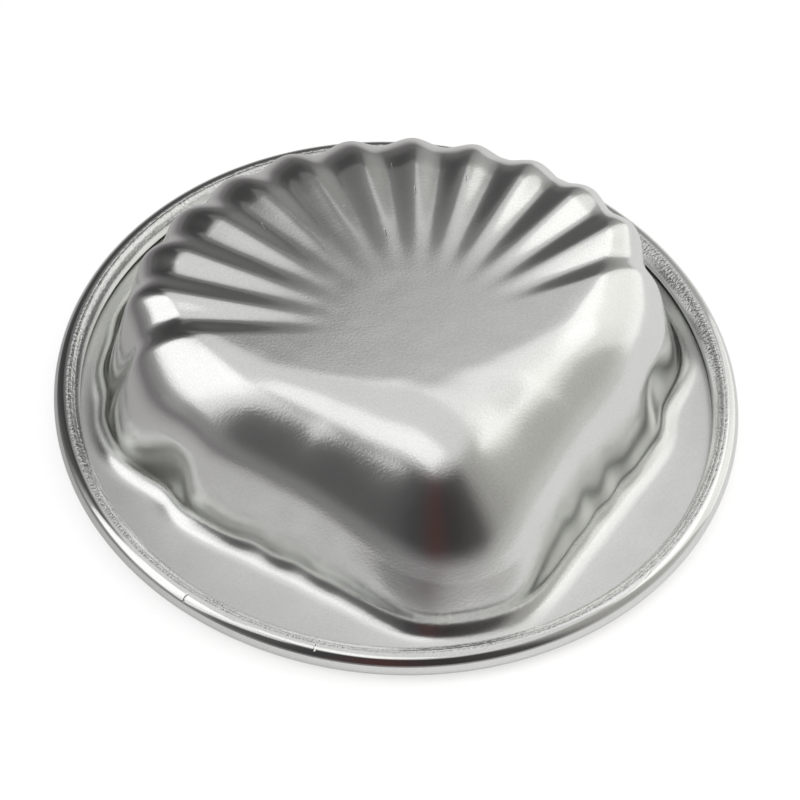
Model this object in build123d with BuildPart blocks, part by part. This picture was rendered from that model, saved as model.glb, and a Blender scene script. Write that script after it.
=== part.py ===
"""Scallop-shell madeleine mould, standing dome up on its round rim.

The mould is one aluminium blank, deep drawn into a fluted shell with a flat flange
round it, whose edge is curled back over a steel wire ring. Millimetres, +Z up, the
origin at the centre of the rim's resting face. The fan of flutes faces +Y and the
nose of the shell faces -Y.
"""

from build123d import *
from math import acos, asin, atan2, cos, degrees, exp, pi, radians, sin, sqrt
import os

os.makedirs("parts", exist_ok=True)

# Rim and sheet
rim_diameter = 80.0
sheet_thickness = 0.5
bead_diameter = 3.0
curl_end_angle = 35.0
wire_clearance = 0.05
wire_butt_gap = 0.6

# Shell, seen from above
mould_height = 17.5
foot_clearance = 0.1
pole_offset = 6.2
cheek_distance = 31.5
cheek_angle = 43.0
foot_sharpness = 28.0
brow_sharpness = 13.5
ear_depth = 2.4
ear_angle = 74.5
ear_width_angle = 8.0
ear_top_share = 0.3

# Shell, in section
foot_radius = 3.2
side_draft = 11.0
back_draft = 21.5
cheek_draft = 23.0
nose_draft = 26.0
side_shoulder_radius = 3.8
back_shoulder_radius = 11.7
cheek_shoulder_radius = 14.0
nose_shoulder_radius = 20.4
cheek_turn_angle = 60.0
cheek_blend_angle = 32.0
nose_turn_angle = 126.0
nose_blend_angle = 53.0

# Flutes
flute_count = 11
fan_half_angle = 72.2
flute_depth = 0.95
flute_start_radius = 10.8
flute_foot_share = 0.35
fold_share = 0.45

# Draw puckers, low on the two cheeks
pucker_depth = 0.08
pucker_pitch_angle = 13.0
pucker_first_angle = 96.0
pucker_last_angle = 156.0

# Fineness of the section wires
flat_cap_radius = 4.5
steps_per_span = 8
plain_spans = 3
top_steps = 4
shoulder_steps = 8
wall_steps = 3
foot_steps = 6
difference_share = 0.002

rim_radius = rim_diameter / 2
bead_radius = bead_diameter / 2
bead_ring_radius = rim_radius - bead_radius
foot_limit_radius = rim_radius - bead_diameter - foot_clearance
wire_radius = bead_radius - sheet_thickness - wire_clearance
flute_pitch = 2 * fan_half_angle / flute_count


def eased(value):
    """Smooth step from 0 to 1."""
    held = min(max(value, 0), 1)
    return held * held * (3 - 2 * held)


def outline(turn, sharpness):
    """Distance from the pole to the plan outline, at an angle from the fan's axis."""
    toward_rim = pole_offset * cos(turn)
    reach = toward_rim + sqrt(toward_rim**2 + foot_limit_radius**2 - pole_offset**2)
    total = reach**-sharpness
    for side in (-1, 1):
        cheek = radians(180 - cheek_angle) * side
        facing = cos(turn - cheek)
        if facing > difference_share:
            to_cheek = (cheek_distance + pole_offset * cos(cheek)) / facing
            total += to_cheek**-sharpness
    return total ** (-1 / sharpness)


def notched_outline(turn):
    """Plan outline at the foot, with the notch between the fan and each cheek."""
    distance = outline(turn, foot_sharpness)
    beside = abs(distance * sin(turn))
    from_nose = degrees(atan2(beside, pole_offset - distance * cos(turn)))
    return distance - ear_depth * exp(-(((from_nose - ear_angle) / ear_width_angle) ** 2))


def wall_shape(turn):
    """Draft angle and shoulder radius of the wall, at an angle from the fan's axis."""
    angle = degrees(acos(cos(turn)))
    back = max(cos(turn), 0) ** 2
    cheek = eased((angle - cheek_turn_angle) / cheek_blend_angle)
    nose = eased((angle - nose_turn_angle) / nose_blend_angle)
    draft = side_draft + (back_draft - side_draft) * back
    draft += (cheek_draft - side_draft) * cheek + (nose_draft - cheek_draft) * nose
    shoulder = side_shoulder_radius + (back_shoulder_radius - side_shoulder_radius) * back
    shoulder += (cheek_shoulder_radius - side_shoulder_radius) * cheek
    shoulder += (nose_shoulder_radius - cheek_shoulder_radius) * nose
    return radians(draft), shoulder


def valley(turn):
    """Share of the flute depth at an angle: 1 in a valley, 0 on a crest."""
    flutes = (degrees(turn) + fan_half_angle) / flute_pitch
    if not -1 / 2 < flutes < flute_count + 1 / 2:
        return 0
    return (1 + asin(fold_share * cos(2 * pi * flutes)) / asin(fold_share)) / 2


def pucker(turn):
    """Share of the pucker depth at an angle, as soft waves along each cheek."""
    angle = abs(degrees(turn))
    if not pucker_first_angle < angle < pucker_last_angle:
        return 0
    span = (angle - pucker_first_angle) / (pucker_last_angle - pucker_first_angle)
    waves = cos(2 * pi * (angle - pucker_first_angle) / pucker_pitch_angle)
    return waves * sin(pi * span) ** 2


def shell_point(turn, place):
    """Point of the outer skin: place runs 0 to 4 over top, shoulder, wall and foot."""
    foot = notched_outline(turn)
    brow = outline(turn, brow_sharpness)
    draft, shoulder = wall_shape(turn)
    foot_height = sheet_thickness + foot_radius
    shoulder_height = mould_height - shoulder
    wall_offset = brow * cos(draft) + foot_height * sin(draft) - foot_radius
    shoulder_centre = (wall_offset - shoulder - shoulder_height * sin(draft)) / cos(draft)
    full_depth_radius = shoulder_centre + shoulder * cos(draft)
    grown = eased((place_radius(place, shoulder_centre, shoulder, draft) - flute_start_radius)
                  / (full_depth_radius - flute_start_radius))
    crease = 0
    if place <= 1:
        radius = flat_cap_radius + (shoulder_centre - flat_cap_radius) * place
        height = mould_height
        lean = pi / 2
        depth = grown
    elif place <= 2:
        lean = pi / 2 - (pi / 2 - draft) * (place - 1)
        radius = shoulder_centre + shoulder * cos(lean)
        height = shoulder_height + shoulder * sin(lean)
        depth = grown
    elif place <= 3:
        lean = draft
        top = shoulder_height + shoulder * sin(draft)
        bottom = foot_height - foot_radius * sin(draft)
        height = top + (bottom - top) * (place - 2)
        radius = (wall_offset - height * sin(draft)) / cos(draft)
        depth = 1 + (flute_foot_share - 1) * (place - 2)
        crease = eased(place - 2)
    else:
        lean = draft + (pi / 2 - draft) * (place - 3)
        radius = brow - foot_radius * cos(lean)
        height = foot_height - foot_radius * sin(lean)
        depth = flute_foot_share * (4 - place) ** 2
        crease = (4 - place) ** 2
    sunk = flute_depth * depth * valley(turn) + pucker_depth * crease * pucker(turn)
    notched = eased((place - 1 - ear_top_share) / (2 - ear_top_share))
    radius += (foot - brow) * notched - sunk * cos(lean)
    height -= sunk * sin(lean)
    return Vector(radius * sin(turn), radius * cos(turn) - pole_offset, height)


def place_radius(place, shoulder_centre, shoulder, draft):
    """Distance from the pole that the flutes' growth is measured at."""
    if place <= 1:
        return flat_cap_radius + (shoulder_centre - flat_cap_radius) * place
    lean = pi / 2 - (pi / 2 - draft) * min(place - 1, 1)
    return shoulder_centre + shoulder * cos(lean)


def inner_point(turn, place):
    """Point of the inner skin, one sheet thickness in along the outer skin's normal."""
    here = shell_point(turn, place)
    if place in (0, 4):
        return here - Vector(0, 0, sheet_thickness)
    around = shell_point(turn + difference_share, place) - shell_point(
        turn - difference_share, place
    )
    down = shell_point(turn, place + difference_share) - shell_point(
        turn, place - difference_share
    )
    return here - around.cross(down).normalized() * sheet_thickness


def section_spans():
    """Angles of the section points, in spans: one per flute, a few over the plain part."""
    fan = radians(fan_half_angle + flute_pitch / 2)
    ends = [-fan + radians(flute_pitch) * number for number in range(flute_count + 2)]
    plain = [fan + (pi - fan) * number / plain_spans for number in range(1, plain_spans + 1)]
    ends = [-end for end in reversed(plain)] + ends + plain
    spans = []
    for start, end in zip(ends[:-1], ends[1:]):
        steps = steps_per_span
        spans.append([start + (end - start) * step / steps for step in range(steps + 1)])
    return spans


def section_places():
    """Places of the section wires, from the flat cap down to the foot."""
    places = [step / top_steps for step in range(top_steps)]
    places += [1 + step / shoulder_steps for step in range(shoulder_steps)]
    places += [2 + step / wall_steps for step in range(wall_steps)]
    places += [3 + step / foot_steps for step in range(foot_steps + 1)]
    return places


def skin(point_of):
    """Top and side faces of one skin, lofted through its section wires."""
    wires = []
    for place in section_places():
        edges = []
        for span in section_spans():
            points = [point_of(turn, place) for turn in span]
            slopes = [
                point_of(turn + difference_share, place) - point_of(turn - difference_share, place)
                for turn in (span[0], span[-1])
            ]
            edges.append(Edge.make_spline(points, tangents=slopes, parameters=span))
        wires.append(Wire(edges))
    return Solid.make_loft(wires, ruled=True).faces().sort_by(Axis.Z)[1:]


def flange_face(skin_faces, height):
    """Flat of the flange at one height, from the skin's foot out to the start of the curl."""
    foot = skin_faces.edges().group_by(Axis.Z)[0]
    rim = edge_curl.edges().filter_by_position(Axis.Z, height, height).sort_by(Axis.X)
    return Face(Wire(rim), [Wire(foot)])


# The curled edge, an open tube of sheet round the rim
with BuildPart() as edge_curl:
    with BuildSketch(Plane.XZ):
        with BuildLine():
            curl_turn = 180 + curl_end_angle + 90
            bead_centre = (bead_ring_radius, bead_radius)
            outside = CenterArc(bead_centre, bead_radius, -90, curl_turn)
            inside = CenterArc(bead_centre, bead_radius - sheet_thickness, -90, curl_turn)
            Line(outside @ 1, inside @ 1)
            Line(inside @ 0, outside @ 0)
        make_face()
    revolve(axis=Axis.Z)

outer_skin = skin(shell_point)
inner_skin = skin(inner_point)
curl_faces = edge_curl.faces().filter_by(GeomType.CYLINDER, reverse=True)

# The pressed blank: fluted shell, flat flange and curled edge, all one sheet
with BuildPart() as pressed_shell:
    flats = [flange_face(outer_skin, sheet_thickness), flange_face(inner_skin, 0)]
    add(Solid(Shell(outer_skin + inner_skin + curl_faces + flats)))
pressed_shell.part.label = "pressed_shell"

# The steel ring that the edge is curled over, butted and not welded
with BuildPart() as rim_wire:
    with BuildSketch(Plane.XZ):
        with Locations((bead_ring_radius, bead_radius)):
            Circle(wire_radius)
    revolve(axis=Axis.Z, revolution_arc=360 - degrees(wire_butt_gap / bead_ring_radius))
rim_wire.part.label = "rim_wire"

export_step(pressed_shell.part, "parts/pressed_shell.step")
export_step(rim_wire.part, "parts/rim_wire.step")
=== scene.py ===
from math import acos, asin, atan2, cos, degrees, exp, pi, radians, sin, sqrt, tan

import bmesh
import bpy
from bpy.props import FloatProperty, FloatVectorProperty, IntProperty, PointerProperty
from mathutils import Matrix, Vector


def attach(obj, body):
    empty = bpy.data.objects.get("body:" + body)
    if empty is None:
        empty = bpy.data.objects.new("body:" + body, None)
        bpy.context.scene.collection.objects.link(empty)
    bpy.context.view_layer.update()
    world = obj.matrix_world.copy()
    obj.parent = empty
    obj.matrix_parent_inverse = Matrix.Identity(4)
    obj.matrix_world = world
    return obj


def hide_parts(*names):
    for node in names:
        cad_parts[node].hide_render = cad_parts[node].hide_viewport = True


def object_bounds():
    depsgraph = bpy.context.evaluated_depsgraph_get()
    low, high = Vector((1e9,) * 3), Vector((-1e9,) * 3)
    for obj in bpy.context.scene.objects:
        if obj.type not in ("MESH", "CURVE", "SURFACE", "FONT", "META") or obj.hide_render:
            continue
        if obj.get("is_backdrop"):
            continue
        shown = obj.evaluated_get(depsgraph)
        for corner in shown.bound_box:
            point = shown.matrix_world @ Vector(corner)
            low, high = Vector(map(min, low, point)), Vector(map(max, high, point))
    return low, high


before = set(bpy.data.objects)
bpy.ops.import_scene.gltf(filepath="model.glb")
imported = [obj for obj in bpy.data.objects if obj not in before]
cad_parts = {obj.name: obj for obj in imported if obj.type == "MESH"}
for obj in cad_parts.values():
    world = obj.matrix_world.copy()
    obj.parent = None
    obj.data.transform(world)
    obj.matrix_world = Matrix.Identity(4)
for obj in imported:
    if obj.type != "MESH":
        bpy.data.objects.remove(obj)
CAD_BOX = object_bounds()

bl_info = {
    "name": "Madeleine Mould",
    "version": (1, 0, 0),
    "blender": (4, 5, 0),
    "location": "View3D > Sidebar > Mould",
    "description": "Scallop-shell madeleine mould pressed in aluminium, on a studio sweep",
    "category": "Add Mesh",
}

MM = 0.001

# Softboxes: name, bearing, height, width and tallness in degrees, glow
LAMPS = (
    ("right softbox", 16, 28, 46, 60, 0.36),
    ("left softbox", -179, 41, 40, 50, 0.52),
    ("left softbox heart", 178, 41, 28, 38, 0.20),
    ("high left softbox", -140, 79, 26, 18, 0.32),
    ("overhead softbox", 33, 55, 54, 22, 0.24),
    ("back softbox", 74, 48, 56, 22, 0.09),
)
LAMP_DISTANCE = 1.0

# Walls of the room: bearing in degrees and colour
WALLS = (
    (-180, (0.40, 0.40, 0.40)),
    (-162, (0.30, 0.30, 0.30)),
    (-150, (0.10, 0.10, 0.10)),
    (-125, (0.05, 0.048, 0.05)),
    (-106, (0.065, 0.035, 0.033)),
    (-88, (0.04, 0.036, 0.037)),
    (-66, (0.06, 0.058, 0.057)),
    (-38, (0.34, 0.335, 0.32)),
    (-10, (0.46, 0.455, 0.43)),
    (20, (0.58, 0.575, 0.545)),
    (42, (0.42, 0.42, 0.40)),
    (60, (0.27, 0.27, 0.26)),
    (76, (0.10, 0.10, 0.10)),
    (100, (0.06, 0.06, 0.06)),
    (120, (0.05, 0.05, 0.05)),
    (142, (0.08, 0.08, 0.08)),
    (160, (0.40, 0.40, 0.40)),
)
# The same walls low down, where the table top brightens them
LOW_WALLS = (
    (-180, (0.30, 0.30, 0.30)),
    (-150, (0.20, 0.20, 0.20)),
    (-112, (0.25, 0.24, 0.245)),
    (-85, (0.37, 0.36, 0.36)),
    (-40, (0.50, 0.495, 0.48)),
    (25, (0.68, 0.675, 0.65)),
    (50, (0.36, 0.36, 0.35)),
    (75, (0.14, 0.14, 0.14)),
    (125, (0.08, 0.08, 0.08)),
    (160, (0.22, 0.22, 0.22)),
)
CEILING = (0.68, 0.675, 0.67, 1)
# Heights in degrees over which the low walls pass into the walls, and these into the ceiling
LOW_HEIGHTS = (4, 19)
CEILING_HEIGHTS = (56, 70)
# How much lower the ceiling hangs at the back
CEILING_SLOPE = 0.13
ROOM_GLOW = 1.04

# Paper sweep: its colour is painted darker towards the far left corner, as painted shade for the less
# light it gets than the side by the lamps
FLOOR_REACH = 3.0
FLOOR_GAP = 0.02 * MM
FLOOR_BACK_SHARE = 0.7
DIM_SIDE, BRIGHT_SIDE = -0.13, 0.04
PAINTED_DIM_PAPER_SHARES = (0.38, 0.36, 0.38)
# Share of white added for the camera on the dim side, how much less it is by the lamps, and the painted
# glow, strongest by the lamps, that the metal mirrors
CAMERA_LIFT = 0.85
CAMERA_LIFT_DROP = 0.27
MIRRORED_PAINTED_GLOW = 0.26

# Camera, in degrees, and the photo's focal length and shifts in its pixels
PHOTO_SIDE = 800
PHOTO_FOCAL = 2377.326
PHOTO_SHIFT = (2.81, -6.94)
CAMERA_DISTANCE = 0.280
CAMERA_HEIGHT = 50.223
CAMERA_BEARING = -106.64
CAMERA_ROLL = 4.05
SENSOR_WIDTH = 36.0
CLIP_START = 0.01

# The shell beyond its main sizes: angles in degrees
FOOT_RADIUS = 3.2 * MM
FOOT_CLEARANCE = 0.1 * MM
FOOT_SHARPNESS, BROW_SHARPNESS = 28.0, 13.5
EAR_ANGLE, EAR_WIDTH = 74.5, 8.0
EAR_TOP_SHARE = 0.3
SIDE_DRAFT, BACK_DRAFT = 11.0, 21.5
CHEEK_DRAFT, NOSE_DRAFT = 23.0, 26.0
SIDE_SHOULDER, BACK_SHOULDER = 3.8 * MM, 11.7 * MM
CHEEK_SHOULDER, NOSE_SHOULDER = 14.0 * MM, 20.4 * MM
CHEEK_TURN, CHEEK_BLEND = 60.0, 32.0
NOSE_TURN, NOSE_BLEND = 126.0, 53.0
FLUTE_START = 10.8 * MM
FLUTE_FOOT_SHARE = 0.35
FOLD_SHARE = 0.45
PUCKER_PITCH, PUCKER_FIRST, PUCKER_LAST = 13.0, 96.0, 156.0
DIFFERENCE = 0.002

# Rows of faces over each stretch of the sheet
TOP_ROWS, SHOULDER_ROWS, WALL_ROWS, FOOT_ROWS = 12, 16, 12, 10
FLAT_SHARES = (0.25, 0.5, 0.75)
CURL_INSIDE_ROWS, CURL_OUTSIDE_ROWS = 16, 28
WELD = 1e-7

# Grains of the metals: how many per metre, and detail
CLOUD_GRAIN = (130, 3)
WAVE_GRAIN = (240, 1)
FINE_GRAIN = (3600, 2)
WRINKLE_GRAIN = (3200, 2)
SPECKLE_GRAIN = (4600, 1)
DRAWN_GRAIN = (1800, 3)
WIRE_CLOUD_GRAIN = (160, 2)
WAVE_DEPTH, WAVE_STRENGTH = 0.05 * MM, 0.5
FINE_DEPTH = 0.006 * MM
WRINKLE_DEPTH = 0.09 * MM
SCUFF_DEPTH = 0.03 * MM
DRAWN_DEPTH = 0.01 * MM

# Roughness of the sheet and of the wire, and what each finish adds
ROUGHNESS, CLOUD_ROUGHNESS = 0.17, 0.10
POLISHED_ROUGHNESS = 0.08
INNER_BEAD_ROUGHNESS = 0.10
FLANGE_ROUGHNESS = 0.14
WIRE_ROUGHNESS, WIRE_CLOUD_ROUGHNESS = 0.22, 0.2

# Finishes and painted shade on the rolled rim, as places either side of the middle of the bead
POLISHED_PLACES = (-0.1 * MM, 0.25 * MM)
INNER_BEAD_STARTS = (-1.45 * MM, -1.2 * MM)
INNER_BEAD_ENDS = (0.15 * MM, -0.1 * MM)
SHADED_FLANK_STARTS = (-1.5 * MM, -1.3 * MM)
RIDGE_PLACES = (0.35 * MM, 0.95 * MM)
RIDGE_WIDTH, RIDGE_DEPTH = 0.14 * MM, 0.12 * MM
# Heights over which the flange's finish, and the painted shade on the rim's inner side and on its lower
# outside, end
FLANGE_HEIGHTS = (0.9 * MM, 0.6 * MM)
SHADED_FLANK_HEIGHTS = (2.1 * MM, 1.0 * MM)
SHADED_UNDERSIDE_HEIGHTS = (1.4 * MM, 0.3 * MM)

# Tints and painted shade, as shares of a metal's own colour
SPECKLE_SHARE, CLOUD_SHARE = 0.7, 0.3
MOTTLE_LIMITS, WIRE_MOTTLE_LIMITS = (0.35, 0.65), (0.35, 0.65)
MOTTLED_SHARES = (0.94, 0.945, 0.935)
# Painted shade, as a share of the aluminium's colour, where shade falls on the rim
PAINTED_SHADE_SHARES = (0.55, 0.56, 0.53)
DRAWN_SHARES = (0.85, 0.84, 0.82)
# How strongly the painted shade darkens the rim's lower outside
UNDERSIDE_SHADE_SHARE = 0.7

# Scuffs on the top and nicks in the rim: start, end and half width in millimetres
SCUFFS = (
    ((-13.4, 14.2), (-13.1, 12.9), 0.10),
    ((-8.7, 12.4), (-7.3, 8.0), 0.06),
    ((-3.6, 14.9), (-3.3, 13.6), 0.09),
    ((0.1, 10.2), (0.1, 9.0), 0.10),
    ((5.2, 16.2), (5.0, 14.9), 0.08),
    ((11.5, 16.9), (11.3, 15.9), 0.10),
    ((3.6, 21.0), (3.5, 20.0), 0.10),
    ((-29.5, -25.2), (-30.2, -25.9), 0.14),
    ((-17.4, -34.3), (-17.7, -35.2), 0.14),
    ((19.6, -33.6), (20.8, -32.6), 0.12),
)
SCUFF_FADE_SHARE = 0.7


def length_setting(name, description, default):
    """A size of the mould that a user may change."""
    return FloatProperty(name=name, description=description, default=default, unit="LENGTH")


def angle_setting(name, description, default):
    """An angle of the mould that a user may change, given in degrees."""
    return FloatProperty(
        name=name, description=description, default=radians(default), subtype="ANGLE"
    )


def colour_setting(name, description, default):
    """A colour that a user may change."""
    return FloatVectorProperty(
        name=name, description=description, default=default, size=3, subtype="COLOR"
    )


class MouldSizes(bpy.types.PropertyGroup):
    rim_diameter: length_setting("Rim diameter", "Across the rolled rim", 80 * MM)
    sheet: length_setting("Sheet", "Thickness of the aluminium", 0.5 * MM)
    bead: length_setting("Bead", "Thickness of the rolled rim", 3 * MM)
    curl_end: angle_setting("Curl end", "How far below level the rolled edge ends", 35)
    height: length_setting("Height", "From the resting face to the flat top", 17.5 * MM)
    pole_offset: length_setting("Pole offset", "From the rim's centre to where the flutes meet", 6.2 * MM)
    cheek_distance: length_setting("Cheek distance", "From the rim's centre to the cheeks", 31.5 * MM)
    cheek_angle: angle_setting("Cheek angle", "Half angle between the cheeks' normals", 43)
    ear_depth: length_setting("Ear depth", "Depth of the notch between fan and cheek", 2.4 * MM)
    flutes: IntProperty(name="Flutes", description="Ridges in the fan", default=11)
    fan_half_angle: angle_setting("Fan half angle", "From the middle ridge to the last groove", 72.2)
    flute_depth: length_setting("Flute depth", "Depth of a groove on the shoulder", 0.95 * MM)
    pucker_depth: length_setting("Pucker depth", "Depth of the puckers on the cheeks", 0.08 * MM)
    around: IntProperty(name="Around", description="Faces round the shell", default=480)


class MouldColours(bpy.types.PropertyGroup):
    aluminium: colour_setting("Aluminium", "Mill-finish sheet", (0.88, 0.884, 0.872))
    wire: colour_setting("Wire", "Drawn steel wire", (0.45, 0.45, 0.46))
    floor: colour_setting("Floor", "Paper sweep under the mould", (0.92, 0.92, 0.92))


# Shape of the shell

def eased(value):
    """Smooth step from 0 to 1."""
    held = min(max(value, 0), 1)
    return held * held * (3 - 2 * held)


def outline(size, turn, sharpness):
    """Distance from the pole to the plan outline, at an angle from the fan's axis."""
    limit = size.rim_diameter / 2 - size.bead - FOOT_CLEARANCE
    toward_rim = size.pole_offset * cos(turn)
    reach = toward_rim + sqrt(toward_rim**2 + limit**2 - size.pole_offset**2)
    total = (reach / limit) ** -sharpness
    for side in (-1, 1):
        cheek = (pi - size.cheek_angle) * side
        facing = cos(turn - cheek)
        if facing > DIFFERENCE:
            to_cheek = (size.cheek_distance + size.pole_offset * cos(cheek)) / facing
            total += (to_cheek / limit) ** -sharpness
    return limit * total ** (-1 / sharpness)


def notched_outline(size, turn):
    """Plan outline at the foot, with the notch between the fan and each cheek."""
    distance = outline(size, turn, FOOT_SHARPNESS)
    beside = abs(distance * sin(turn))
    from_nose = degrees(atan2(beside, size.pole_offset - distance * cos(turn)))
    return distance - size.ear_depth * exp(-(((from_nose - EAR_ANGLE) / EAR_WIDTH) ** 2))


def wall_shape(turn):
    """Draft angle and shoulder radius of the wall, at an angle from the fan's axis."""
    angle = degrees(acos(cos(turn)))
    back = max(cos(turn), 0) ** 2
    cheek = eased((angle - CHEEK_TURN) / CHEEK_BLEND)
    nose = eased((angle - NOSE_TURN) / NOSE_BLEND)
    draft = SIDE_DRAFT + (BACK_DRAFT - SIDE_DRAFT) * back
    draft += (CHEEK_DRAFT - SIDE_DRAFT) * cheek + (NOSE_DRAFT - CHEEK_DRAFT) * nose
    shoulder = SIDE_SHOULDER + (BACK_SHOULDER - SIDE_SHOULDER) * back
    shoulder += (CHEEK_SHOULDER - SIDE_SHOULDER) * cheek + (NOSE_SHOULDER - CHEEK_SHOULDER) * nose
    return radians(draft), shoulder


def valley(size, turn):
    """Share of the flute depth at an angle: 1 in a groove, 0 on a ridge."""
    grooves = (turn + size.fan_half_angle) * size.flutes / (2 * size.fan_half_angle)
    if not -1 / 2 < grooves < size.flutes + 1 / 2:
        return 0
    return (1 + asin(FOLD_SHARE * cos(2 * pi * grooves)) / asin(FOLD_SHARE)) / 2


def pucker(turn):
    """Share of the pucker depth at an angle, as soft waves along each cheek."""
    angle = abs(degrees(turn))
    if not PUCKER_FIRST < angle < PUCKER_LAST:
        return 0
    span = (angle - PUCKER_FIRST) / (PUCKER_LAST - PUCKER_FIRST)
    return cos(2 * pi * (angle - PUCKER_FIRST) / PUCKER_PITCH) * sin(pi * span) ** 2


def shell_point(size, turn, place):
    """Point of the outer skin: place runs 0 to 4 over top, shoulder, wall and foot."""
    foot = notched_outline(size, turn)
    brow = outline(size, turn, BROW_SHARPNESS)
    draft, shoulder = wall_shape(turn)
    foot_height = size.sheet + FOOT_RADIUS
    shoulder_height = size.height - shoulder
    wall_offset = brow * cos(draft) + foot_height * sin(draft) - FOOT_RADIUS
    centre = (wall_offset - shoulder - shoulder_height * sin(draft)) / cos(draft)
    crease = 0
    lean = pi / 2
    height = size.height
    if place <= 1:
        radius = centre * place
    elif place <= 2:
        lean = pi / 2 - (pi / 2 - draft) * (place - 1)
        radius = centre + shoulder * cos(lean)
        height = shoulder_height + shoulder * sin(lean)
    if place <= 2:
        full = centre + shoulder * cos(draft)
        depth = eased((radius - FLUTE_START) / (full - FLUTE_START))
    elif place <= 3:
        lean = draft
        top = shoulder_height + shoulder * sin(draft)
        bottom = foot_height - FOOT_RADIUS * sin(draft)
        height = top + (bottom - top) * (place - 2)
        radius = (wall_offset - height * sin(draft)) / cos(draft)
        depth = 1 + (FLUTE_FOOT_SHARE - 1) * (place - 2)
        crease = eased(place - 2)
    else:
        lean = draft + (pi / 2 - draft) * (place - 3)
        radius = brow - FOOT_RADIUS * cos(lean)
        height = foot_height - FOOT_RADIUS * sin(lean)
        depth = FLUTE_FOOT_SHARE * (4 - place) ** 2
        crease = (4 - place) ** 2
    sunk = size.flute_depth * depth * valley(size, turn) + size.pucker_depth * crease * pucker(turn)
    notched = eased((place - 1 - EAR_TOP_SHARE) / (2 - EAR_TOP_SHARE))
    radius += (foot - brow) * notched - sunk * cos(lean)
    height -= sunk * sin(lean)
    return Vector((radius * sin(turn), radius * cos(turn) - size.pole_offset, height))


def inner_point(size, turn, place):
    """Point of the inner skin, one sheet in along the outer skin's normal."""
    here = shell_point(size, turn, place)
    if place < DIFFERENCE or place > 4 - DIFFERENCE:
        return here - Vector((0, 0, size.sheet))
    beside = [shell_point(size, turn + way * DIFFERENCE, place) for way in (1, -1)]
    along = [shell_point(size, turn, place + way * DIFFERENCE) for way in (1, -1)]
    outward = (beside[0] - beside[1]).cross(along[0] - along[1])
    return here - outward.normalized() * size.sheet


def bead_point(size, turn, lean, radius):
    """Point on the rolled edge: lean runs from underneath (-90) out, over and in."""
    ring = size.rim_diameter / 2 - size.bead / 2
    reach = ring + radius * cos(lean)
    return Vector((reach * sin(turn), reach * cos(turn), size.bead / 2 + radius * sin(lean)))


def shares(start, end, count):
    """Evenly spread places from start up to, not including, end."""
    return [start + (end - start) * step / count for step in range(count)]


def sheet_rows():
    """Every row of the closed sheet, out over the shell and rim and back underneath."""
    skin = shares(0, 1, TOP_ROWS) + shares(1, 2, SHOULDER_ROWS)
    skin += shares(2, 3, WALL_ROWS) + shares(3, 4, FOOT_ROWS) + [4]
    rows = [("outer", place) for place in skin]
    rows += [("top", share) for share in FLAT_SHARES]
    rows += [("inside", share) for share in shares(0, 1, CURL_INSIDE_ROWS)] + [("inside", 1.0)]
    rows += [("outside", 1 - share) for share in shares(0, 1, CURL_OUTSIDE_ROWS)] + [("outside", 0.0)]
    rows += [("under", share) for share in reversed(FLAT_SHARES)]
    return rows + [("inner", place) for place in reversed(skin)]


def sheet_point(size, turn, foot, kind, share):
    """Point of the sheet on one row, where the shell's foot meets the flange at foot."""
    if kind == "outer":
        return shell_point(size, turn, share)
    if kind == "inner":
        return inner_point(size, turn, share)
    ring_turn = atan2(foot.x, foot.y)
    lean = -pi / 2 + (pi + size.curl_end + pi / 2) * share
    if kind == "inside":
        return bead_point(size, ring_turn, lean, size.bead / 2 - size.sheet)
    if kind == "outside":
        return bead_point(size, ring_turn, lean, size.bead / 2)
    rim = bead_point(size, ring_turn, -pi / 2, size.bead / 2)
    flat = Vector((foot.x, foot.y, 0)).lerp(rim, share)
    return Vector((flat.x, flat.y, size.sheet if kind == "top" else 0))


# Making of pieces

def finished(name, bm, material):
    """Make an object from a bmesh and dress it."""
    mesh = bpy.data.meshes.new(name)
    bm.to_mesh(mesh)
    bm.free()
    mesh.materials.append(material)
    piece = bpy.data.objects.new(name, mesh)
    bpy.context.scene.collection.objects.link(piece)
    return piece


def spun_tube(rows, around):
    """Closed tube of quads, one row of vertices per unit of height."""
    bm = bmesh.new()
    chain = [bm.verts.new((0, 1, row)) for row in range(rows)]
    edges = [bm.edges.new(pair) for pair in zip(chain[:-1], chain[1:])]
    bmesh.ops.spin(bm, geom=chain + edges, cent=(0, 0, 0), axis=(0, 0, -1), dvec=(0, 0, 0),
                   angle=2 * pi, steps=around, use_merge=True, use_duplicate=False)
    return bm


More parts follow.
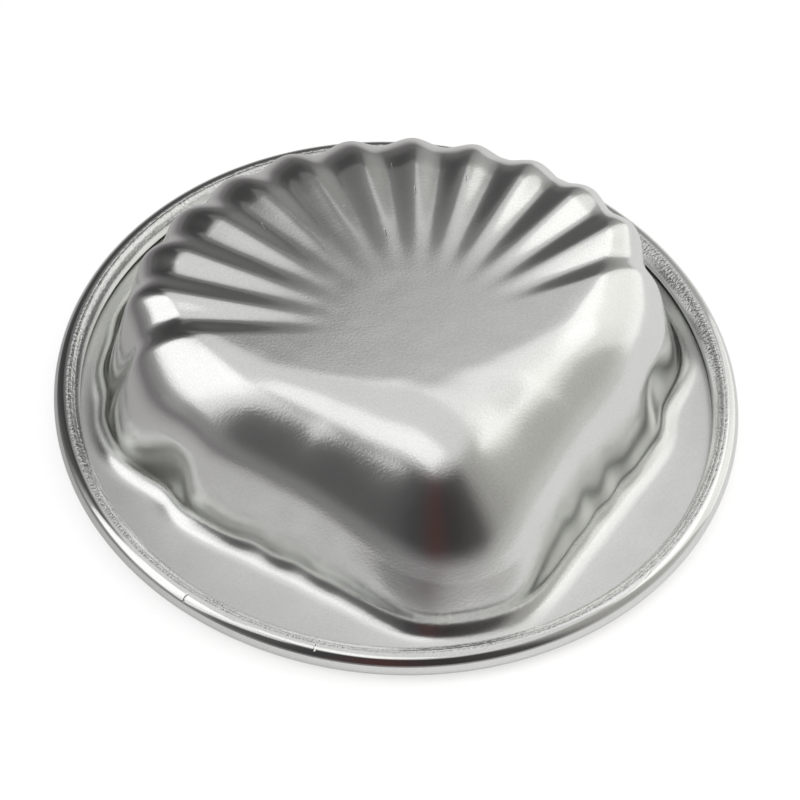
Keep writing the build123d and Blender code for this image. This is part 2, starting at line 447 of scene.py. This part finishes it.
class Finish:
    """Short forms for building a tree of shader nodes."""

    def __init__(self, tree):
        self.nodes = tree.nodes
        self.links = tree.links
        self.nodes.clear()

    def add(self, kind):
        return self.nodes.new("ShaderNode" + kind)

    def feed(self, socket, value):
        """Set a socket to a plain value, or link another socket to it."""
        if isinstance(value, bpy.types.NodeSocket):
            self.links.new(value, socket)
        else:
            socket.default_value = value

    def calc(self, operation, *values):
        """A Math node over numbers and sockets."""
        node = self.add("Math")
        node.operation = operation
        for socket, value in zip(node.inputs, values):
            self.feed(socket, value)
        return node.outputs[0]

    def axes(self, where):
        """X, Y and Z of a vector."""
        node = self.add("SeparateXYZ")
        self.feed(node.inputs[0], where)
        return node.outputs

    def step(self, value, start, end):
        """Soft step from 0 at start to 1 at end."""
        node = self.add("MapRange")
        node.interpolation_type = "SMOOTHSTEP"
        self.feed(node.inputs["Value"], value)
        self.feed(node.inputs["From Min"], start)
        self.feed(node.inputs["From Max"], end)
        return node.outputs["Result"]

    def beside(self, value, middle, width):
        """1 where a value is at the middle, soft down to 0 a width away from it."""
        away = self.calc("ABSOLUTE", self.calc("SUBTRACT", value, middle))
        return self.step(away, width, 0)

    def mix(self, share, lower, upper):
        """Pass from one colour to another."""
        node = self.add("Mix")
        node.data_type = "RGBA"
        for name, value in (("Factor", share), ("A", lower), ("B", upper)):
            self.feed(node.inputs[name], value)
        return node.outputs["Result"]

    def grain(self, where, scale, detail):
        """Noise over the object's own coordinates."""
        node = self.add("TexNoise")
        self.feed(node.inputs["Vector"], where)
        self.feed(node.inputs["Scale"], scale)
        self.feed(node.inputs["Detail"], detail)
        return node.outputs["Fac"]

    def bump(self, height, depth, below=None, strength=1.0):
        """Raise the surface by a height, over the bumps below it."""
        node = self.add("Bump")
        self.feed(node.inputs["Distance"], depth)
        self.feed(node.inputs["Strength"], strength)
        self.feed(node.inputs["Height"], height)
        if below:
            self.feed(node.inputs["Normal"], below)
        return node.outputs["Normal"]

    def scuff(self, where, start, end, width):
        """1 along a fine scuff between two points of the plan, 0 beside it."""
        along = Vector((end[0] - start[0], end[1] - start[1], 0)) * MM
        away = self.add("VectorMath")
        away.operation = "SUBTRACT"
        self.feed(away.inputs[0], where)
        self.feed(away.inputs[1], Vector((*start, 0)) * MM)
        reaches = []
        for way in (along, Vector((-along.y, along.x, 0))):
            reach = self.add("VectorMath")
            reach.operation = "DOT_PRODUCT"
            self.feed(reach.inputs[0], away.outputs[0])
            self.feed(reach.inputs[1], way.normalized())
            reaches.append(reach.outputs["Value"])
        half = along.length / 2
        past = self.calc("ABSOLUTE", self.calc("SUBTRACT", reaches[0], half))
        within = self.step(past, half, half * SCUFF_FADE_SHARE)
        return self.calc("MULTIPLY", within, self.beside(reaches[1], 0, width * MM))

    def scuffs(self, where):
        """All the scuffs and nicks together."""
        marks = [self.scuff(where, *mark) for mark in SCUFFS]
        together = marks[0]
        for mark in marks[1:]:
            together = self.calc("MAXIMUM", together, mark)
        return together

    def metal(self, colour, roughness, normal):
        """Bare metal on the surface."""
        shader = self.add("BsdfPrincipled")
        self.feed(shader.inputs["Base Color"], colour)
        self.feed(shader.inputs["Roughness"], roughness)
        self.feed(shader.inputs["Normal"], normal)
        self.feed(shader.inputs["Metallic"], 1.0)
        self.surface(shader.outputs["BSDF"])

    def surface(self, shader):
        self.feed(self.add("OutputMaterial").inputs["Surface"], shader)


def new_material(name):
    """An empty material and its node tree."""
    material = bpy.data.materials.new(name)
    material.use_nodes = True
    return material, Finish(material.node_tree)


def shaded(colour, shares_of_it):
    """A colour with each of its parts brought down to a share, and opaque."""
    return (*(part * share for part, share in zip(colour, shares_of_it)), 1)


def aluminium(size, colour):
    """Mill-finish sheet: fine grain and scuffs, polished by the rolls on the rim's outside, with painted
    shade in the rim's inner corner and on its lower outside.
    """
    material, finish = new_material("satin aluminium")
    where = finish.add("TexCoord").outputs["Object"]
    across, along, up = finish.axes(where)
    squares = [finish.calc("POWER", side, 2.0) for side in (across, along)]
    radius = finish.calc("SQRT", finish.calc("ADD", *squares))
    ring = (size.rim_diameter - size.bead) / 2

    def by_radius(places):
        return finish.step(radius, ring + places[0], ring + places[1])

    polished = by_radius(POLISHED_PLACES)
    plain = finish.calc("SUBTRACT", 1.0, polished)
    inner_bead = finish.calc("MULTIPLY", by_radius(INNER_BEAD_STARTS), by_radius(INNER_BEAD_ENDS))
    flange = finish.step(up, *FLANGE_HEIGHTS)
    # Painted shade mask: the rim's inner side, down by the flange
    shaded_flank = finish.calc("MULTIPLY", by_radius(SHADED_FLANK_STARTS), finish.step(up, *SHADED_FLANK_HEIGHTS))
    # Painted shade mask: the rim's lower outside, over the table
    shaded_underside = finish.calc("MULTIPLY", polished, finish.step(up, *SHADED_UNDERSIDE_HEIGHTS))

    cloud = finish.grain(where, *CLOUD_GRAIN)
    wrinkles = finish.grain(where, *WRINKLE_GRAIN)
    normal = finish.bump(finish.grain(where, *WAVE_GRAIN), WAVE_DEPTH, strength=WAVE_STRENGTH)
    normal = finish.bump(finish.grain(where, *FINE_GRAIN), FINE_DEPTH, normal, plain)
    normal = finish.bump(wrinkles, WRINKLE_DEPTH, normal, inner_bead)
    for place in RIDGE_PLACES:
        ridge = finish.calc("MULTIPLY", finish.beside(radius, ring - place, RIDGE_WIDTH), wrinkles)
        normal = finish.bump(ridge, RIDGE_DEPTH, normal, inner_bead)
    normal = finish.bump(finish.scuffs(where), -SCUFF_DEPTH, normal)

    rough = finish.calc("MULTIPLY_ADD", cloud, CLOUD_ROUGHNESS, ROUGHNESS - CLOUD_ROUGHNESS / 2)
    rough = finish.calc("MULTIPLY_ADD", inner_bead, INNER_BEAD_ROUGHNESS, rough)
    rough = finish.calc("MULTIPLY_ADD", flange, FLANGE_ROUGHNESS, rough)
    rough = finish.calc("MULTIPLY_ADD", polished, POLISHED_ROUGHNESS - ROUGHNESS, rough)

    speckle = finish.grain(where, *SPECKLE_GRAIN)
    clouded = finish.calc("MULTIPLY", cloud, CLOUD_SHARE)
    mottled = finish.step(
        finish.calc("MULTIPLY_ADD", speckle, SPECKLE_SHARE, clouded), *MOTTLE_LIMITS
    )
    tint = finish.mix(mottled, (*colour, 1), shaded(colour, MOTTLED_SHARES))
    # Painted shade: the rim's inner side, down in the corner by the flange, and its lower outside, over
    # the table, are painted darker
    painted_shade = finish.calc("MULTIPLY", shaded_flank, plain)
    painted_shade = finish.calc("MULTIPLY_ADD", shaded_underside, UNDERSIDE_SHADE_SHARE, painted_shade)
    finish.metal(finish.mix(painted_shade, tint, shaded(colour, PAINTED_SHADE_SHARES)), rough, normal)
    return material


def steel(colour):
    """Drawn wire, finely grained."""
    material, finish = new_material("drawn steel")
    where = finish.add("TexCoord").outputs["Object"]
    cloud = finish.grain(where, *WIRE_CLOUD_GRAIN)
    mottled = finish.step(cloud, *WIRE_MOTTLE_LIMITS)
    tint = finish.mix(mottled, (*colour, 1), shaded(colour, DRAWN_SHARES))
    rough = finish.calc("MULTIPLY_ADD", cloud, WIRE_CLOUD_ROUGHNESS, WIRE_ROUGHNESS)
    finish.metal(tint, rough, finish.bump(finish.grain(where, *DRAWN_GRAIN), DRAWN_DEPTH))
    return material


def paper(colour):
    """Paper sweep, white to the camera but for the mould's shadow, and seen from above only; painted
    darker towards the far left corner, with a painted glow by the lamps that the metal mirrors.
    """
    material, finish = new_material("paper sweep")
    across, along, up = finish.axes(finish.add("TexCoord").outputs["Object"])
    to_lamps = finish.calc("MULTIPLY_ADD", along, -FLOOR_BACK_SHARE, across)
    bright = finish.step(to_lamps, DIM_SIDE, BRIGHT_SIDE)
    diffuse = finish.add("BsdfDiffuse")
    # Painted shade on the paper: its colour is darker towards the far left corner
    painted_paper_shade = finish.mix(bright, shaded(colour, PAINTED_DIM_PAPER_SHARES), (*colour, 1))
    finish.feed(diffuse.inputs["Color"], painted_paper_shade)
    rays = finish.add("LightPath").outputs
    lift = finish.calc("MULTIPLY_ADD", bright, -CAMERA_LIFT_DROP, CAMERA_LIFT)
    seen = finish.calc("MULTIPLY", rays["Is Camera Ray"], lift)
    bounced = finish.calc("ADD", rays["Is Glossy Ray"], rays["Is Transmission Ray"])
    # Painted glow, strongest by the lamps, seen only in the metal's reflections
    mirrored_glow = finish.calc("MULTIPLY", bounced, finish.calc("MULTIPLY", bright, MIRRORED_PAINTED_GLOW))
    white = finish.add("Emission")
    finish.feed(white.inputs["Strength"], finish.calc("ADD", seen, mirrored_glow))
    lit = finish.add("AddShader")
    finish.feed(lit.inputs[0], diffuse.outputs[0])
    finish.feed(lit.inputs[1], white.outputs[0])
    one_sided = finish.add("MixShader")
    finish.feed(one_sided.inputs["Fac"], finish.add("NewGeometry").outputs["Backfacing"])
    finish.feed(one_sided.inputs[1], lit.outputs[0])
    finish.feed(one_sided.inputs[2], finish.add("BsdfTransparent").outputs[0])
    finish.surface(one_sided.outputs[0])
    return material


def toward(bearing, height):
    """Direction from the mould at a bearing and a height in degrees."""
    side, up = radians(bearing), radians(height)
    return Vector((cos(up) * cos(side), cos(up) * sin(side), sin(up)))


class MOULD_OT_shell(bpy.types.Operator):
    """Press the fluted shell with its flange and rolled rim"""
    bl_idname = "mould.shell"
    bl_label = "Pressed Shell"

    def execute(self, context):
        size = context.scene.mould_sizes
        rows = sheet_rows()
        around = size.around
        bm = spun_tube(len(rows), around)
        feet = {}
        for vert in bm.verts:
            turn = atan2(vert.co.x, vert.co.y)
            column = round(turn / (2 * pi) * around)
            if column not in feet:
                feet[column] = shell_point(size, turn, 4)
            vert.co = sheet_point(size, turn, feet[column], *rows[round(vert.co.z)])
        bmesh.ops.remove_doubles(bm, verts=bm.verts, dist=WELD)
        bmesh.ops.recalc_face_normals(bm, faces=bm.faces)
        for face in bm.faces:
            face.smooth = True
        material = aluminium(size, context.scene.mould_colours.aluminium)
        shell = finished("fluted_shell", bm, material)
        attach(shell, "root")
        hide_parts("pressed_shell")
        return {"FINISHED"}


class MOULD_OT_wire(bpy.types.Operator):
    """Dress the wire ring inside the rolled rim"""
    bl_idname = "mould.wire"
    bl_label = "Rim Wire"

    def execute(self, context):
        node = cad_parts["rim_wire"]
        node.data.materials.clear()
        node.data.materials.append(steel(context.scene.mould_colours.wire))
        return {"FINISHED"}


class MOULD_OT_studio(bpy.types.Operator):
    """Lay the floor, hang the lamps and set the camera"""
    bl_idname = "mould.studio"
    bl_label = "Studio"

    def execute(self, context):
        scene = context.scene
        bm = bmesh.new()
        bmesh.ops.create_grid(bm, x_segments=1, y_segments=1, size=FLOOR_REACH)
        bmesh.ops.translate(bm, verts=bm.verts, vec=(0, 0, -FLOOR_GAP))
        finished("floor", bm, paper(scene.mould_colours.floor))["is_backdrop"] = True
        self.room(scene)
        for name, *sizes in LAMPS:
            self.lamp(scene, name, *sizes)
        self.camera(scene)
        scene.view_settings.view_transform = "Standard"
        return {"FINISHED"}

    def room(self, scene):
        """Plain walls and a pale ceiling for the metal to mirror, and white for the camera."""
        world = bpy.data.worlds.new("studio")
        world.use_nodes = True
        scene.world = world
        finish = Finish(world.node_tree)
        across, along, up = finish.axes(finish.add("TexCoord").outputs["Generated"])
        bearing = finish.calc("ARCTAN2", along, across)
        walls = self.wall_colours(finish, bearing, WALLS)
        low_walls = self.wall_colours(finish, bearing, LOW_WALLS)
        walls = finish.mix(self.rise(finish, up, LOW_HEIGHTS), low_walls, walls)
        sloped = finish.calc("MULTIPLY_ADD", along, CEILING_SLOPE, up)
        whole = finish.mix(self.rise(finish, sloped, CEILING_HEIGHTS), walls, CEILING)
        room = finish.add("Background")
        finish.feed(room.inputs["Color"], whole)
        finish.feed(room.inputs["Strength"], ROOM_GLOW)
        white = finish.add("Background")
        finish.feed(white.inputs["Color"], (1, 1, 1, 1))
        choice = finish.add("MixShader")
        finish.feed(choice.inputs["Fac"], finish.add("LightPath").outputs["Is Camera Ray"])
        finish.feed(choice.inputs[1], room.outputs[0])
        finish.feed(choice.inputs[2], white.outputs[0])
        finish.feed(finish.add("OutputWorld").inputs["Surface"], choice.outputs[0])

    def rise(self, finish, up, heights):
        """Soft step between two heights, in degrees."""
        return finish.step(up, *(sin(radians(height)) for height in heights))

    def wall_colours(self, finish, bearing, stops):
        """Colours of the walls round the room."""
        turn = finish.add("MapRange")
        finish.feed(turn.inputs["Value"], bearing)
        finish.feed(turn.inputs["From Min"], -pi)
        finish.feed(turn.inputs["From Max"], pi)
        ramp = finish.add("ValToRGB")
        ramp.color_ramp.interpolation = "EASE"
        elements = ramp.color_ramp.elements
        while len(elements) < len(stops):
            elements.new(1 / 2)
        for element, (place, colour) in zip(elements, stops):
            element.position = (place + 180) / 360
            element.color = (*colour, 1)
        finish.feed(ramp.inputs["Fac"], turn.outputs["Result"])
        return ramp.outputs["Color"]

    def lamp(self, scene, name, bearing, height, width, tall, glow):
        """A softbox that faces the mould; its sizes are angles as the mould sees it."""
        data = bpy.data.lights.new(name, "AREA")
        data.shape = "RECTANGLE"
        data.size = 2 * LAMP_DISTANCE * tan(radians(width / 2))
        data.size_y = 2 * LAMP_DISTANCE * tan(radians(tall / 2))
        data.energy = ROOM_GLOW * glow * pi * data.size * data.size_y
        lamp = bpy.data.objects.new(name, data)
        scene.collection.objects.link(lamp)
        lamp.location = toward(bearing, height) * LAMP_DISTANCE
        lamp.rotation_euler = lamp.location.to_track_quat("Z", "Y").to_euler()
        lamp.visible_camera = False

    def camera(self, scene):
        """The photo's camera, turned about its line of sight as the photo is."""
        data = bpy.data.cameras.new("photo camera")
        camera = bpy.data.objects.new("photo camera", data)
        scene.collection.objects.link(camera)
        back = toward(CAMERA_BEARING, CAMERA_HEIGHT)
        right = Vector((0, 0, 1)).cross(back).normalized()
        level = Matrix((right, back.cross(right), back)).transposed()
        turned = level @ Matrix.Rotation(radians(CAMERA_ROLL), 3, "Z")
        camera.matrix_world = Matrix.Translation(back * CAMERA_DISTANCE) @ turned.to_4x4()
        data.sensor_width = SENSOR_WIDTH
        data.lens = PHOTO_FOCAL / PHOTO_SIDE * SENSOR_WIDTH
        data.shift_x, data.shift_y = (shift / PHOTO_SIDE for shift in PHOTO_SHIFT)
        data.clip_start = CLIP_START
        scene.camera = camera


class MOULD_PT_panel(bpy.types.Panel):
    """Sizes, colours and pieces of the mould"""
    bl_idname = "MOULD_PT_panel"
    bl_label = "Madeleine Mould"
    bl_space_type = "VIEW_3D"
    bl_region_type = "UI"
    bl_category = "Mould"

    def draw(self, context):
        layout = self.layout
        for group in (context.scene.mould_sizes, context.scene.mould_colours):
            for name in group.__annotations__:
                layout.prop(group, name)
        for operator in OPERATORS:
            layout.operator(operator.bl_idname)


OPERATORS = (MOULD_OT_shell, MOULD_OT_wire, MOULD_OT_studio)
CLASSES = (MouldSizes, MouldColours, *OPERATORS, MOULD_PT_panel)


def register():
    for cls in CLASSES:
        bpy.utils.register_class(cls)
    bpy.types.Scene.mould_sizes = PointerProperty(type=MouldSizes)
    bpy.types.Scene.mould_colours = PointerProperty(type=MouldColours)


def unregister():
    del bpy.types.Scene.mould_colours
    del bpy.types.Scene.mould_sizes
    for cls in reversed(CLASSES):
        bpy.utils.unregister_class(cls)


def main():
    register()
    bpy.ops.mould.shell()
    bpy.ops.mould.wire()
    bpy.ops.mould.studio()
    boxes = {"cad": CAD_BOX, "visual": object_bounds()}
    boxes = {name: [list(corner) for corner in box] for name, box in boxes.items()}


if __name__ == "__main__":
    main()
